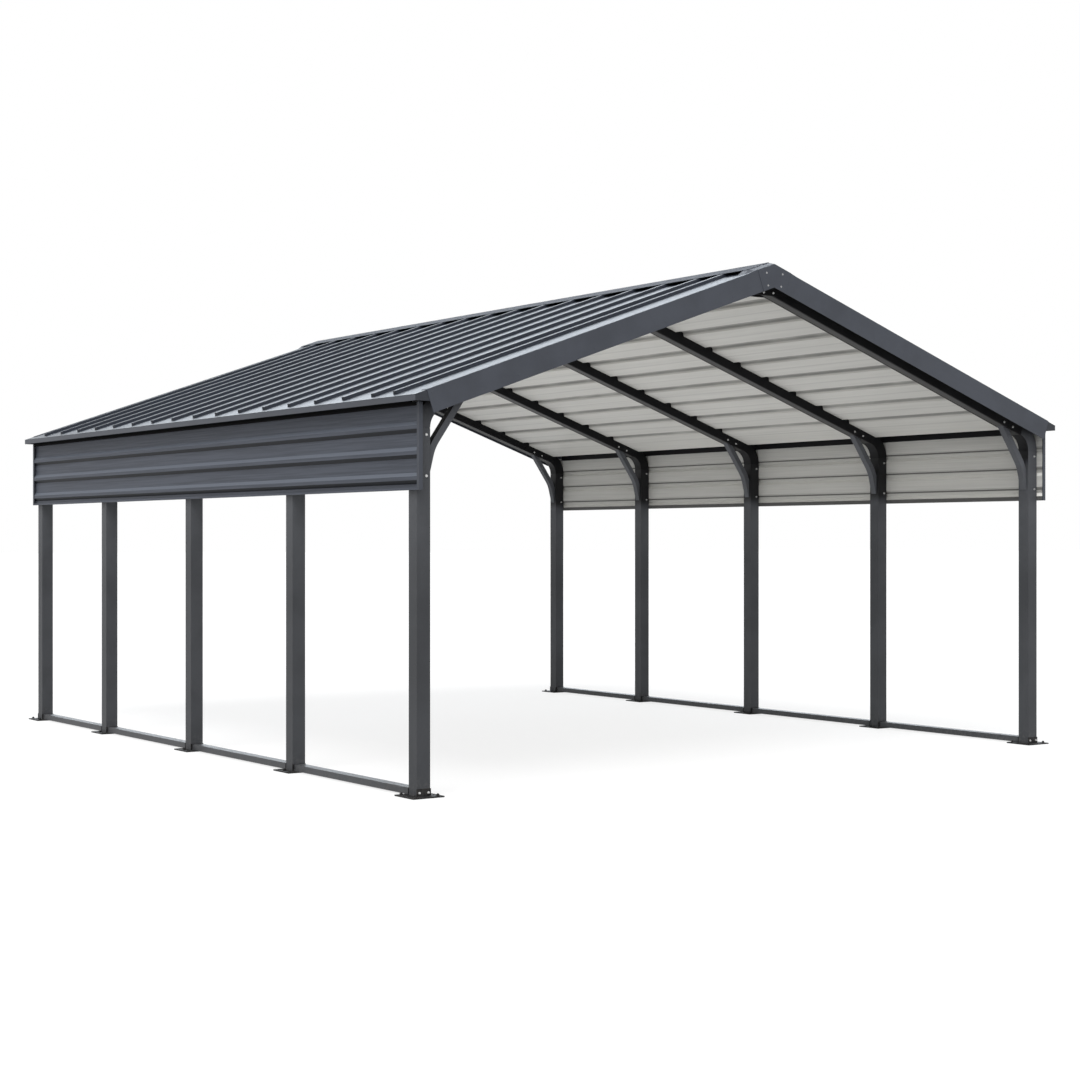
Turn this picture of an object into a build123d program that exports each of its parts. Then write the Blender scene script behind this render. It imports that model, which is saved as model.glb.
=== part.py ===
"""Open carport: five bolted tube frames under a lined and ribbed gable roof, in millimetres.

X runs across the carport, Y from the front to the rear and Z up from the ground.
The origin is on the ground in the middle of the plan.
"""

import os
from math import cos, radians, sin, tan

from build123d import *

# Layout
bay_length = 1524.0
rear_bay_length = 1350.0
full_bay_count = 3  # the bays in front of the shorter rear bay
frame_width = 5260.0  # over the outer faces of the posts
corner_height = 2276.0  # where a post's outer face would meet the rafters' top plane
pitch_deg = 19.3
eave_overhang = 76.0  # roof past the outer faces of the posts
gable_overhang = 107.0  # roof past the front and rear faces of the posts
panel_overhang = 60.0  # side panels past the front and rear faces of the posts
cut_overrun = 60.0  # how far material runs past a face before it is trimmed there

# Frame tube, elbows and ridge joint
tube_width = 90.0
tube_wall = 2.5
bend_radius = 210.0  # outside of the elbow's bend
joint_gap = 2.0  # open joint between an elbow and the tube that slides over its spigot
spigot_wall = 2.5
spigot_clearance = 0.3
post_spigot = 290.0
rafter_spigot = 200.0
ridge_gap = 6.0
gusset_thickness = 4.0
gusset_half_width = 170.0
gusset_clearance = 4.0  # to the liner above
gusset_drop = 30.0  # flat lower edge below the rafters' undersides at the ridge

# Knee braces
brace_width = 50.0  # along Y
brace_depth = 40.0
brace_wall = 2.0
brace_foot_drop = 368.0  # its centre line on the post, below the corner height
brace_foot_run = 115.0
brace_foot_deg = 14.0  # lower leg from the vertical
brace_arm_deg = 35.0  # upper leg from the vertical
brace_bend_radius = 260.0

# Feet and base rails
plate_width = 210.0
plate_thickness = 8.0
anchor_spacing = 154.0
anchor_hole_radius = 7.0
cheek_height = 42.0
cheek_thickness = 4.0
cheek_margin = 3.0  # past each side of the post
cheek_clearance = 0.3
rail_width = 70.0
rail_height = 40.0
rail_wall = 2.0
rail_clearance = 0.3

# Side panels, their end trims and the eave beams
panel_drop = 509.0  # the panel's bottom edge below the corner height
panel_thickness = 3.0
panel_rib_height = 18.0
panel_rib_base = 66.0
panel_rib_top = 22.0
panel_rib_first = 67.0  # lowest rib's middle above the panel's bottom edge
panel_rib_pitch = 147.0
panel_rib_count = 3
panel_lip = 14.0  # height of the turned-out bottom lip
panel_top_clearance = 2.0  # to the eave's lip
trim_thickness = 2.0
trim_leg = 25.0  # along the outside of the panel
trim_inner_leg = 8.0
trim_top_clearance = 1.0
eave_beam_width = 20.0
eave_beam_height = 80.0
eave_beam_wall = 2.0
eave_beam_clearance = 0.5

# Liner panels between the rafters, with ribs along the carport
liner_thickness = 3.0
liner_rib_height = 24.0
liner_rib_base = 80.0
liner_rib_top = 52.0
liner_rib_first = 282.0  # first rib's middle, down the slope from the ridge
liner_rib_last = 340.0  # last rib's middle, up the slope from the liner's lower edge
liner_rib_count = 8
liner_clearance = 0.4  # to the rafters beside it and the purlins over it
liner_end_clearance = 3.0  # to the fascias
liner_eave_gap = 90.0  # open slot between the liner and the eave beam

# Hat purlins on the rafters, under the roof sheets
purlin_height = 53.0
purlin_top = 44.0
purlin_foot = 24.0
purlin_wall = 2.0
purlin_first = 110.0  # first purlin's middle, down the slope from the ridge
purlin_last = 60.0  # last purlin's middle, up the slope from the elbow's joint
purlin_count = 5

# Roof sheets, with ribs down the slope
sheet_thickness = 3.0
sheet_ridge_margin = 10.0
roof_rib_height = 20.0
roof_rib_base = 46.0
roof_rib_flank_deg = 70.0
full_rib_count = 16  # ribs at the full pitch
rake_rib_offset = 320.0  # from the roof's front and rear edges to the first rib that shows
lapped_rib_step = 256.0  # shorter step at the front, where two sheets lap
roof_rib_eave_margin = 62.0
roof_rib_ridge_margin = 30.0

# Ridge cap, rake fascias, apex covers and eave trims
cap_thickness = 2.5
cap_arm = 150.0
cap_end_clearance = 2.0
fascia_thickness = 3.0
fascia_depth = 140.0
fascia_flange = 56.0
fascia_seam = 3.0
cover_thickness = 2.5
cover_arm = 128.0
eave_lip = 33.0
eave_flange = 42.0
eave_trim_thickness = 2.0
eave_cap_lap = 60.0  # end cap behind the fascia's upper end corner

# Worked out from the layout
pitch = radians(pitch_deg)
frame_half = frame_width / 2
bay_lengths = [bay_length] * full_bay_count + [rear_bay_length]
frame_length = sum(bay_lengths)
roof_half_width = frame_half + eave_overhang
roof_half_length = frame_length / 2 + tube_width / 2 + gable_overhang
ridge_height = corner_height + frame_half * tan(pitch)
post_x = frame_half - tube_width / 2
frame_rows = [sum(bay_lengths[:row]) - frame_length / 2 for row in range(len(bay_lengths) + 1)]
turn_deg = 90 - pitch_deg
bend_tangent = bend_radius * tan(radians(turn_deg) / 2)
joint_height = corner_height - bend_tangent
rafter_start = frame_half / cos(pitch) - bend_tangent  # down the slope from the ridge
spigot_size = tube_width - 2 * tube_wall - 2 * spigot_clearance
bore_size = spigot_size - 2 * spigot_wall
cheek_width = tube_width + 2 * cheek_margin
cheek_spacing = tube_width + 2 * cheek_clearance + cheek_thickness  # between the cheeks' middles
foot_length = cheek_spacing + cheek_thickness
panel_depth = panel_thickness + panel_rib_height
panel_bottom = corner_height - panel_drop
liner_drop = liner_thickness + liner_rib_height + liner_clearance  # its flats below the rafters' tops
sheet_base = purlin_height
sheet_top = sheet_base + sheet_thickness
rib_top = sheet_top + roof_rib_height
fascia_top = sheet_top + fascia_thickness
fascia_bottom = fascia_top - fascia_depth
fascia_end = frame_half  # the fascias' upper end corners
eave_tip = roof_half_width - sheet_thickness * sin(pitch)
panel_half_length = frame_length / 2 + tube_width / 2 + panel_overhang
liner_half_length = roof_half_length - liner_end_clearance
sides = {"left": -1, "right": 1}


def slope_point(side, along, above, y=0.0):
    """Point on one roof slope: along it from the ridge, and above the rafters' top plane."""
    x = along * cos(pitch) + above * sin(pitch)
    z = ridge_height - along * sin(pitch) + above * cos(pitch)
    return (side * x, y, z)


def slope_section(side, y=0.0):
    """Plane across the carport whose x runs down one slope and whose y is square to it."""
    down = (side * cos(pitch), 0, -sin(pitch))
    return Plane(origin=(0, y, ridge_height), x_dir=down, z_dir=(0, -side, 0))


def slope_end(side, along, above, y=0.0):
    """Plane square to one slope, facing down it, with x along the carport."""
    down = (side * cos(pitch), 0, -sin(pitch))
    return Plane(origin=slope_point(side, along, above, y), x_dir=(0, side, 0), z_dir=down)


def gable_section(y=0.0):
    """Upright plane across the carport, with x across it and y up."""
    return Plane(origin=(0, y, 0), x_dir=(1, 0, 0), z_dir=(0, -1, 0))


def layer_height(x, above):
    """Height of the layer that lies so far above the rafters' top plane, at x from the middle."""
    return ridge_height + above / cos(pitch) - abs(x) * tan(pitch)


def square_tube(width, depth, wall):
    """Hollow rectangle in the sketch that is open."""
    Rectangle(width, depth)
    Rectangle(width - 2 * wall, depth - 2 * wall, mode=Mode.SUBTRACT)


def ribbed_strip(start, end, rib_centres, base, top, height, thickness):
    """Outline of a folded sheet with trapezium ribs, as points along it and out of it."""
    face = [(start, 0)]
    for centre in rib_centres:
        face.append((centre - base / 2, 0))
        face.append((centre - top / 2, height))
        face.append((centre + top / 2, height))
        face.append((centre + base / 2, 0))
    face.append((end, 0))
    back = [(along, out + thickness) for along, out in reversed(face)]
    return face + back


def write_piece(piece, name):
    """Label a finished piece and write its file."""
    piece.label = name
    export_step(piece, f"parts/{name}.step")


os.makedirs("parts", exist_ok=True)

# Posts, numbered from the front
for side_name, side in sides.items():
    for row, y in enumerate(frame_rows, start=1):
        with BuildPart() as post:
            with BuildSketch(Plane(origin=(side * post_x, y, plate_thickness))):
                square_tube(tube_width, tube_width, tube_wall)
            extrude(amount=joint_height - joint_gap - plate_thickness)
        write_piece(post.part, f"{side_name}_post_{row}")

# Bent elbows, whose spigots slide into the post below and the rafter above
for row, y in enumerate(frame_rows, start=1):
    post_end = Plane(origin=(post_x, y, joint_height))
    rafter_end = slope_end(1, rafter_start, -tube_width / 2, y)
    bend_axis = Axis((frame_half - bend_radius, y, joint_height), (0, -1, 0))
    with BuildPart() as elbows:
        with BuildSketch(post_end):
            Rectangle(tube_width, tube_width)
            Rectangle(bore_size, bore_size, mode=Mode.SUBTRACT)
        revolve(axis=bend_axis, revolution_arc=turn_deg)
        with BuildSketch(post_end):
            square_tube(spigot_size, spigot_size, spigot_wall)
        extrude(amount=-post_spigot)
        with BuildSketch(rafter_end):
            square_tube(spigot_size, spigot_size, spigot_wall)
        extrude(amount=-rafter_spigot)
        mirror(about=Plane.YZ)
    write_piece(elbows.part, f"elbows_{row}")

# Rafters, cut plumb at the ridge
for row, y in enumerate(frame_rows, start=1):
    with BuildPart() as rafters:
        with BuildSketch(slope_end(1, rafter_start - joint_gap, -tube_width / 2, y)):
            square_tube(tube_width, tube_width, tube_wall)
        extrude(amount=-(rafter_start + cut_overrun))
        split(bisect_by=Plane.YZ.offset(ridge_gap / 2), keep=Keep.TOP)
        mirror(about=Plane.YZ)
    write_piece(rafters.part, f"rafters_{row}")

# Knee braces, bent once and cut flush on the post and on the rafter's underside
foot_lean = radians(brace_foot_deg)
arm_lean = radians(brace_arm_deg)
post_inner_x = frame_half - tube_width
foot_x = post_inner_x
foot_z = corner_height - brace_foot_drop
knee_x = foot_x - brace_foot_run * sin(foot_lean)
knee_z = foot_z + brace_foot_run * cos(foot_lean)
arm_rise = layer_height(knee_x, -tube_width) - knee_z
arm_length = arm_rise / (cos(arm_lean) - sin(arm_lean) * tan(pitch)) + cut_overrun
brace_start = (foot_x + cut_overrun * sin(foot_lean), foot_z - cut_overrun * cos(foot_lean))
brace_knee = (knee_x, knee_z)
brace_end = (knee_x - arm_length * sin(arm_lean), knee_z + arm_length * cos(arm_lean))
rafter_underside = Plane(
    origin=slope_point(1, 0, -tube_width),
    x_dir=(0, 1, 0),
    z_dir=(sin(pitch), 0, cos(pitch)),
)
for row, y in enumerate(frame_rows, start=1):
    with BuildPart() as braces:
        with BuildLine(gable_section(y)) as brace_path:
            FilletPolyline(brace_start, brace_knee, brace_end, radius=brace_bend_radius)
        start_plane = Plane(origin=brace_path.line @ 0, x_dir=(0, 1, 0), z_dir=brace_path.line % 0)
        with BuildSketch(start_plane):
            square_tube(brace_width, brace_depth, brace_wall)
        sweep()
        split(bisect_by=Plane.YZ.offset(post_inner_x), keep=Keep.BOTTOM)
        split(bisect_by=rafter_underside, keep=Keep.BOTTOM)
        mirror(about=Plane.YZ)
    write_piece(braces.part, f"knee_braces_{row}")

# Ridge gussets, one on each face of every pair of rafters
gusset_bottom = layer_height(0, -tube_width) - gusset_drop
gusset_top = -liner_drop - gusset_clearance
gusset_shoulder = layer_height(gusset_half_width, gusset_top)
gusset_outline = [
    (0, layer_height(0, gusset_top)),
    (gusset_half_width, gusset_shoulder),
    (gusset_half_width, gusset_bottom),
    (-gusset_half_width, gusset_bottom),
    (-gusset_half_width, gusset_shoulder),
]
with BuildPart() as gussets:
    for y in frame_rows:
        for face in (-1, 1):
            with BuildSketch(gable_section(y + face * tube_width / 2)):
                Polygon(*gusset_outline, align=None)
            extrude(amount=gusset_thickness, dir=(0, face, 0))
write_piece(gussets.part, "ridge_gussets")

# Base plates with four anchor holes at the corners of the carport and two between them,
# and with an upright cheek on the front and rear face of each post
for side_name, side in sides.items():
    feet = [(side * post_x, y) for y in frame_rows]
    with BuildPart() as shoes:
        with BuildSketch():
            with Locations(*feet):
                Rectangle(plate_width, plate_width)
            with Locations(feet[0], feet[-1]):
                with GridLocations(anchor_spacing, anchor_spacing, 2, 2):
                    Circle(anchor_hole_radius, mode=Mode.SUBTRACT)
            with Locations(*feet[1:-1]):
                with GridLocations(anchor_spacing, anchor_spacing, 2, 1):
                    Circle(anchor_hole_radius, mode=Mode.SUBTRACT)
        extrude(amount=plate_thickness)
        with BuildSketch(Plane.XY.offset(plate_thickness)):
            with Locations(*feet):
                with GridLocations(cheek_spacing, cheek_spacing, 1, 2):
                    Rectangle(cheek_width, cheek_thickness)
        extrude(amount=cheek_height)
    write_piece(shoes.part, f"{side_name}_shoes")

# Base rails, one to a bay, lying on the base plates
rail_middle = plate_thickness + rail_height / 2
for side_name, side in sides.items():
    with BuildPart() as rails:
        for front_y, bay in zip(frame_rows, bay_lengths):
            rail_length = bay - foot_length - 2 * rail_clearance
            with BuildSketch(gable_section(front_y + bay / 2)):
                with Locations((side * post_x, rail_middle)):
                    square_tube(rail_width, rail_height, rail_wall)
            extrude(amount=rail_length / 2, both=True)
    write_piece(rails.part, f"{side_name}_base_rails")

# Eave beams between the roof sheet's edge and the side panel's top, from the front frame to the rear one
eave_beam_x = frame_half - eave_beam_width / 2
eave_beam_top = layer_height(frame_half, sheet_base) - eave_beam_clearance
eave_beam_z = eave_beam_top - eave_beam_height / 2
with BuildPart() as eave_beams:
    with BuildSketch(gable_section()):
        for side in sides.values():
            with Locations((side * eave_beam_x, eave_beam_z)):
                square_tube(eave_beam_width, eave_beam_height, eave_beam_wall)
    extrude(amount=frame_length / 2 - tube_width / 2, both=True)
write_piece(eave_beams.part, "eave_beams")

# Side panels, folded with ribs outward and a turned-out bottom lip
eave_soffit = layer_height(eave_tip, sheet_base) - eave_lip
panel_top = eave_soffit - panel_top_clearance
panel_ribs = [
    panel_bottom + panel_rib_first + panel_rib_pitch * number for number in range(panel_rib_count)
]
panel_strip = ribbed_strip(
    panel_bottom,
    panel_top,
    panel_ribs,
    panel_rib_base,
    panel_rib_top,
    panel_rib_height,
    panel_thickness,
)
lip_outline = [
    (frame_half, panel_bottom),
    (frame_half + panel_depth, panel_bottom),
    (frame_half + panel_depth, panel_bottom + panel_lip),
    (frame_half + panel_rib_height, panel_bottom + panel_lip),
    (frame_half + panel_rib_height, panel_bottom + panel_thickness),
    (frame_half, panel_bottom + panel_thickness),
]
for side_name, side in sides.items():
    with BuildPart() as panel:
        with BuildSketch(gable_section()):
            Polygon(*[(side * (frame_half + out), up) for up, out in panel_strip], align=None)
            Polygon(*[(side * x, z) for x, z in lip_outline], align=None)
        extrude(amount=panel_half_length, both=True)
    write_piece(panel.part, f"{side_name}_side_panel")

# Upright channels that close the ends of the side panels
trim_top = eave_soffit - trim_top_clearance
trim_end = panel_half_length + trim_thickness
trim_face = frame_half + panel_depth + trim_thickness
trim_outline = [
    (frame_half - trim_thickness, trim_end - trim_inner_leg),
    (frame_half - trim_thickness, trim_end),
    (trim_face, trim_end),
    (trim_face, trim_end - trim_leg),
    (frame_half + panel_depth, trim_end - trim_leg),
    (frame_half + panel_depth, panel_half_length),
    (frame_half, panel_half_length),
    (frame_half, trim_end - trim_inner_leg),
]
with BuildPart() as end_trims:
    with BuildSketch(Plane.XY.offset(panel_bottom)):
        for side in sides.values():
            for end in (-1, 1):
                Polygon(*[(side * x, end * y) for x, y in trim_outline], align=None)
    extrude(amount=trim_top - panel_bottom, dir=(0, 0, 1))
write_piece(end_trims.part, "panel_end_trims")

# Liner panels with raised ribs, one to each bay and each overhang, cut plumb at the ridge
liner_end = (frame_half - eave_beam_width - liner_eave_gap) / cos(pitch)
liner_rib_pitch = (liner_end - liner_rib_last - liner_rib_first) / (liner_rib_count - 1)
liner_ribs = [liner_rib_first + liner_rib_pitch * number for number in range(liner_rib_count)]
liner_strip = ribbed_strip(
    0,
    liner_end,
    liner_ribs,
    liner_rib_base,
    liner_rib_top,
    liner_rib_height,
    liner_thickness,
)
liner_strip[0] = (liner_drop * tan(pitch), 0)
liner_strip[-1] = ((liner_drop - liner_thickness) * tan(pitch), liner_thickness)
liner_outline = [(along, out - liner_drop) for along, out in liner_strip]
beside_rafter = tube_width / 2 + liner_clearance
liner_starts = [-liner_half_length, *[y + beside_rafter for y in frame_rows]]
liner_stops = [*[y - beside_rafter for y in frame_rows], liner_half_length]
for side_name, side in sides.items():
    with BuildPart() as liner:
        for front_y, rear_y in zip(liner_starts, liner_stops):
            with BuildSketch(slope_section(side, (front_y + rear_y) / 2)):
                Polygon(*liner_outline, align=None)
            extrude(amount=(rear_y - front_y) / 2, both=True)
    write_piece(liner.part, f"{side_name}_roof_liner")

# Hat purlins across the rafters
purlin_web = purlin_top / 2 - purlin_wall
purlin_outline = [
    (-purlin_top / 2 - purlin_foot, 0),
    (-purlin_web, 0),
    (-purlin_web, purlin_height - purlin_wall),
    (purlin_web, purlin_height - purlin_wall),
    (purlin_web, 0),
    (purlin_top / 2 + purlin_foot, 0),
    (purlin_top / 2 + purlin_foot, purlin_wall),
    (purlin_top / 2, purlin_wall),
    (purlin_top / 2, purlin_height),
    (-purlin_top / 2, purlin_height),
    (-purlin_top / 2, purlin_wall),
    (-purlin_top / 2 - purlin_foot, purlin_wall),
]
purlin_pitch = (rafter_start - purlin_last - purlin_first) / (purlin_count - 1)
purlin_rows = [purlin_first + purlin_pitch * number for number in range(purlin_count)]
with BuildPart() as purlins:
    for side in sides.values():
        with BuildSketch(slope_section(side)):
            for row in purlin_rows:
                Polygon(*[(row + along, up) for along, up in purlin_outline], align=None)
        extrude(amount=roof_half_length, both=True)
write_piece(purlins.part, "roof_purlins")

# Roof sheets with standing ribs that stop short of the eave
sheet_end = (roof_half_width - sheet_top * sin(pitch)) / cos(pitch)
sheet_outline = [
    (sheet_ridge_margin, sheet_base),
    (sheet_end, sheet_base),
    (sheet_end, sheet_top),
    (sheet_ridge_margin, sheet_top),
]
first_rib = -roof_half_length + rake_rib_offset
lapped_rib = first_rib + lapped_rib_step
last_rib = roof_half_length - rake_rib_offset
roof_rib_pitch = (last_rib - lapped_rib) / (full_rib_count - 1)
full_ribs = [lapped_rib + roof_rib_pitch * number for number in range(full_rib_count)]
roof_ribs = [first_rib, *full_ribs]
roof_rib_end = sheet_end - roof_rib_eave_margin
for side_name, side in sides.items():
    with BuildPart() as sheet:
        with BuildSketch(slope_section(side)):
            Polygon(*sheet_outline, align=None)
        extrude(amount=roof_half_length, both=True)
        with BuildSketch(slope_end(side, roof_rib_end, sheet_top)):
            with Locations(*[(side * y, 0) for y in roof_ribs]):
                Trapezoid(
                    roof_rib_base,
                    roof_rib_height,
                    roof_rib_flank_deg,
                    align=(Align.CENTER, Align.MIN),
                )
        extrude(amount=-(roof_rib_end - roof_rib_ridge_margin))
    write_piece(sheet.part, f"{side_name}_roof_sheet")


def chevron(arm, low, high):
    """Outline bent over the ridge: its arm down each slope, between two layers."""
    right = [slope_point(1, arm, high), slope_point(1, arm, low)]
    left = [slope_point(-1, arm, low), slope_point(-1, arm, high)]
    corners = [(0, 0, layer_height(0, high)), *right, (0, 0, layer_height(0, low)), *left]
    return [(x, z) for x, _, z in corners]


# Ridge cap on the ribs
with BuildPart() as ridge_cap:
    with BuildSketch(gable_section()):
        Polygon(*chevron(cap_arm, rib_top, rib_top + cap_thickness), align=None)
    extrude(amount=roof_half_length - fascia_flange - cap_end_clearance, both=True)
write_piece(ridge_cap.part, "ridge_cap")

# Rake fascias, cut square to the slope: an upright face and a flange on the roof sheet
ends = {"front": -1, "rear": 1}
fascia_start = fascia_seam / 2
fascia_run = (fascia_end - fascia_top * sin(pitch)) / cos(pitch)
for end_name, end in ends.items():
    with BuildPart() as fascia:
        for side in sides.values():
            for low, outward, run in (
                (fascia_bottom, end, fascia_thickness),
                (sheet_top, -end, fascia_flange),
            ):
                top_x, _, top_z = slope_point(side, fascia_run, fascia_top)
                low_x, _, low_z = slope_point(side, fascia_run, low)
                with BuildSketch(gable_section(end * roof_half_length)):
                    Polygon(
                        (side * fascia_start, layer_height(fascia_start, fascia_top)),
                        (top_x, top_z),
                        (low_x, low_z),
                        (side * fascia_start, layer_height(fascia_start, low)),
                        align=None,
                    )
                extrude(amount=run, dir=(0, outward, 0))
    write_piece(fascia.part, f"{end_name}_fascia")

# Apex covers, folded over the joint between the fascias
cover_top = fascia_top + cover_thickness
fascia_face = roof_half_length + fascia_thickness
with BuildPart() as apex_covers:
    for end in ends.values():
        with BuildSketch(gable_section(end * fascia_face)):
            Polygon(*chevron(cover_arm, fascia_bottom, cover_top), align=None)
        extrude(amount=cover_thickness, dir=(0, end, 0))
        with BuildSketch(gable_section(end * fascia_face)):
            Polygon(*chevron(cover_arm, fascia_top, cover_top), align=None)
        extrude(amount=fascia_thickness + fascia_flange, dir=(0, -end, 0))
write_piece(apex_covers.part, "apex_covers")

# Eave trims: a flange under the sheet, a drip lip and end caps that reach behind the fascias
flange_x = eave_tip - eave_flange
lip_x = eave_tip - eave_trim_thickness
flange_layer = sheet_base - eave_trim_thickness
eave_outline = [
    (lip_x, eave_soffit),
    (eave_tip, eave_soffit),
    (eave_tip, layer_height(eave_tip, sheet_base)),
    (flange_x, layer_height(flange_x, sheet_base)),
    (flange_x, layer_height(flange_x, flange_layer)),
    (lip_x, layer_height(lip_x, flange_layer)),
]
cap_x = fascia_end - eave_cap_lap
eave_cap_outline = [
    (cap_x, eave_soffit),
    (eave_tip, eave_soffit),
    (eave_tip, layer_height(eave_tip, sheet_base)),
    (cap_x, layer_height(cap_x, sheet_base)),
]
for side_name, side in sides.items():
    with BuildPart() as eave_trim:
        with BuildSketch(gable_section()):
            Polygon(*[(side * x, z) for x, z in eave_outline], align=None)
        extrude(amount=roof_half_length, both=True)
        for end in ends.values():
            with BuildSketch(gable_section(end * roof_half_length)):
                Polygon(*[(side * x, z) for x, z in eave_cap_outline], align=None)
            extrude(amount=eave_trim_thickness, dir=(0, -end, 0))
    write_piece(eave_trim.part, f"{side_name}_eave_trim")
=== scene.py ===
# %% [markdown]
# # An open steel carport
#
# This lesson dresses a finished CAD model: five bent tube frames on base plates, a lined gable roof
# and two short side panels. The model already has the right shapes, so the work here is paint, bolts,
# screws, thin closures, a pale floor, light and a camera.

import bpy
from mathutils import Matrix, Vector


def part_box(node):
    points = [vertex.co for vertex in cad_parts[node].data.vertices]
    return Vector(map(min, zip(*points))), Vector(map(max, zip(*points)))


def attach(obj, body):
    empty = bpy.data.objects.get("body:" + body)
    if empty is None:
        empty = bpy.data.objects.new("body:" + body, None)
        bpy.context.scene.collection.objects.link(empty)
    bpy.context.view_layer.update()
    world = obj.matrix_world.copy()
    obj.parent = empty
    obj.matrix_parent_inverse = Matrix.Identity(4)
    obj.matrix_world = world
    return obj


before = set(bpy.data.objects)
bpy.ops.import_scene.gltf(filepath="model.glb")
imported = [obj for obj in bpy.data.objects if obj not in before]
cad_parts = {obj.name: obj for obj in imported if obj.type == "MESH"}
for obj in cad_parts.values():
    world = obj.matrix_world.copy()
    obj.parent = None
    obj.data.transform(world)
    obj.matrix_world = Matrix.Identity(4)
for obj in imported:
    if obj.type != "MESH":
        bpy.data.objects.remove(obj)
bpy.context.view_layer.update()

# %% [markdown]
# ## Measure before making
#
# A fitter measures the frame before drilling it, and this script does the same. Every place below is
# read from the boxes and corners of the loaded nodes, so the bolts still fit if the model changes.

# %% Read the frames
from math import atan2, cos, pi, radians, sin, sqrt

import bmesh
import bpy
from mathutils import Matrix, Vector

post_low, post_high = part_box("left_post_1")
tube_width = post_high.x - post_low.x
frame_half = -post_low.x
post_x = frame_half - tube_width / 2
joint_height = post_high.z
row_boxes = [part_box(f"left_post_{number}") for number in range(1, 6)]
rows = [(low.y + high.y) / 2 for low, high in row_boxes]
print("rows:", [round(row, 3) for row in rows], "joint height:", round(joint_height, 3))

# %% [markdown]
# ## Coordinates of a roof slope
#
# On a roof it is handy to count two other ways than X and Z: along the slope from the ridge, and above
# the tops of the rafters. Two small functions turn one kind into the other.

# %% Read the roof slope
rafter_corners = [vertex.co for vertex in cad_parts["rafters_1"].data.vertices]
rafter_head = max(rafter_corners, key=lambda corner: corner.z)
rafter_foot = max(rafter_corners, key=lambda corner: corner.x)
pitch = atan2(rafter_head.z - rafter_foot.z, rafter_foot.x - abs(rafter_head.x))
ridge_height = rafter_foot.z + rafter_foot.x * sin(pitch) / cos(pitch)
rafter_start = rafter_foot.x / cos(pitch)
print("pitch:", round(pitch * 180 / pi, 2), "ridge height:", round(ridge_height, 3))


def slope_point(side, along, above, y):
    """Point on one roof slope: along it from the ridge, and above the rafters' top plane."""
    x = along * cos(pitch) + above * sin(pitch)
    z = ridge_height - along * sin(pitch) + above * cos(pitch)
    return Vector((side * x, y, z))


def slope_corners(name):
    """The right-hand corners of a node, each as along, above and y."""
    corners = []
    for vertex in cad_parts[name].data.vertices:
        x, y, z = vertex.co
        if x > 0:
            drop = ridge_height - z
            corners.append((x * cos(pitch) + drop * sin(pitch), x * sin(pitch) - drop * cos(pitch), y))
    return corners


def middles(values, reach):
    """Middles of the groups that values fall into, each group narrower than a reach."""
    groups = []
    for value in sorted(values):
        if groups and value - groups[-1][0] < reach:
            groups[-1].append(value)
        else:
            groups.append([value])
    return [(group[0] + group[-1]) / 2 for group in groups]


# %% Read the layers of the roof
RIB_REACH = 0.1
LEVEL = 0.001
TOUCH = 0.0001

sheet_corners = slope_corners("right_roof_sheet")
rib_top = max(above for _, above, _ in sheet_corners)
sheet_levels = middles([above for _, above, _ in sheet_corners], LEVEL)
sheet_top = sheet_levels[1]
roof_ribs = middles([y for _, above, y in sheet_corners if above > rib_top - LEVEL], RIB_REACH)

liner_corners = slope_corners("right_roof_liner")
liner_flat = min(above for _, above, _ in liner_corners)
liner_top = max(above for _, above, _ in liner_corners)
liner_ribs = middles([along for along, above, _ in liner_corners if above > liner_top - LEVEL], RIB_REACH)
liner_pitch = (liner_ribs[-1] - liner_ribs[0]) / (len(liner_ribs) - 1)

purlin_corners = slope_corners("roof_purlins")
purlin_top = max(above for _, above, _ in purlin_corners)
purlins = middles([along for along, above, _ in purlin_corners if above > purlin_top - LEVEL], RIB_REACH)
print("roof ribs:", len(roof_ribs), "liner ribs:", len(liner_ribs), "purlins on a slope:", len(purlins))

# %% [markdown]
# ## Shader maths in plain Python
#
# A painted surface is never one flat colour: it has cloudy tone, fine grain and dust. Each of these
# is a few Math nodes, and long chains of them are hard to read. The small class below wraps a socket,
# so that `1 - mask` or `dust * 0.4` adds the nodes by itself.

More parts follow.
